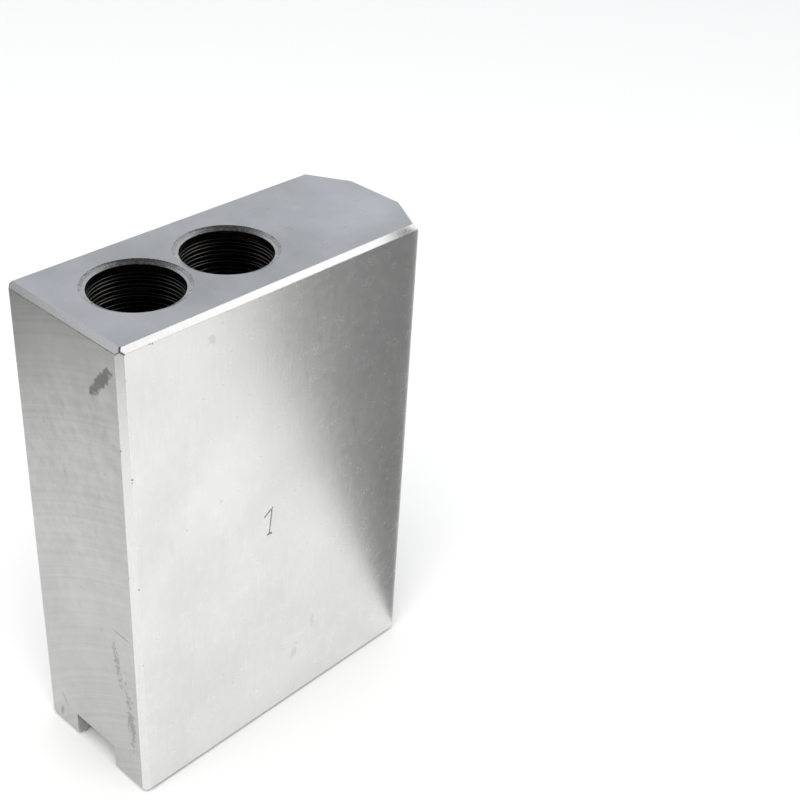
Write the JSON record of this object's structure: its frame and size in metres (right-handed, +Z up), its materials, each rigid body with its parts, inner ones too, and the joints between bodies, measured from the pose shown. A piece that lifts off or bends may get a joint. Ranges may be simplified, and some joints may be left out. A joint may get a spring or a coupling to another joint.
{
  "type": "machinable soft jaw",
  "caption": "Tall pointed steel soft jaw for a lathe chuck, with deep counterbored screw holes, a T-nut slot and a serrated mounting face.",
  "frame": {"origin": "midway along the length and across the width of the jaw, on the plane of the serration crests", "axes": "+X outward along the jaw, from its point to its square outer end; +Y across its width; +Z up, from the serrated mounting face to the counterbored top face"},
  "size_m": [0.074, 0.031, 0.1],
  "materials": {
    "bare_steel": "bare milled steel, bright satin"
  },
  "bodies": {
    "root": {"soft_jaw": "bare_steel"}
  },
  "joints": []
}
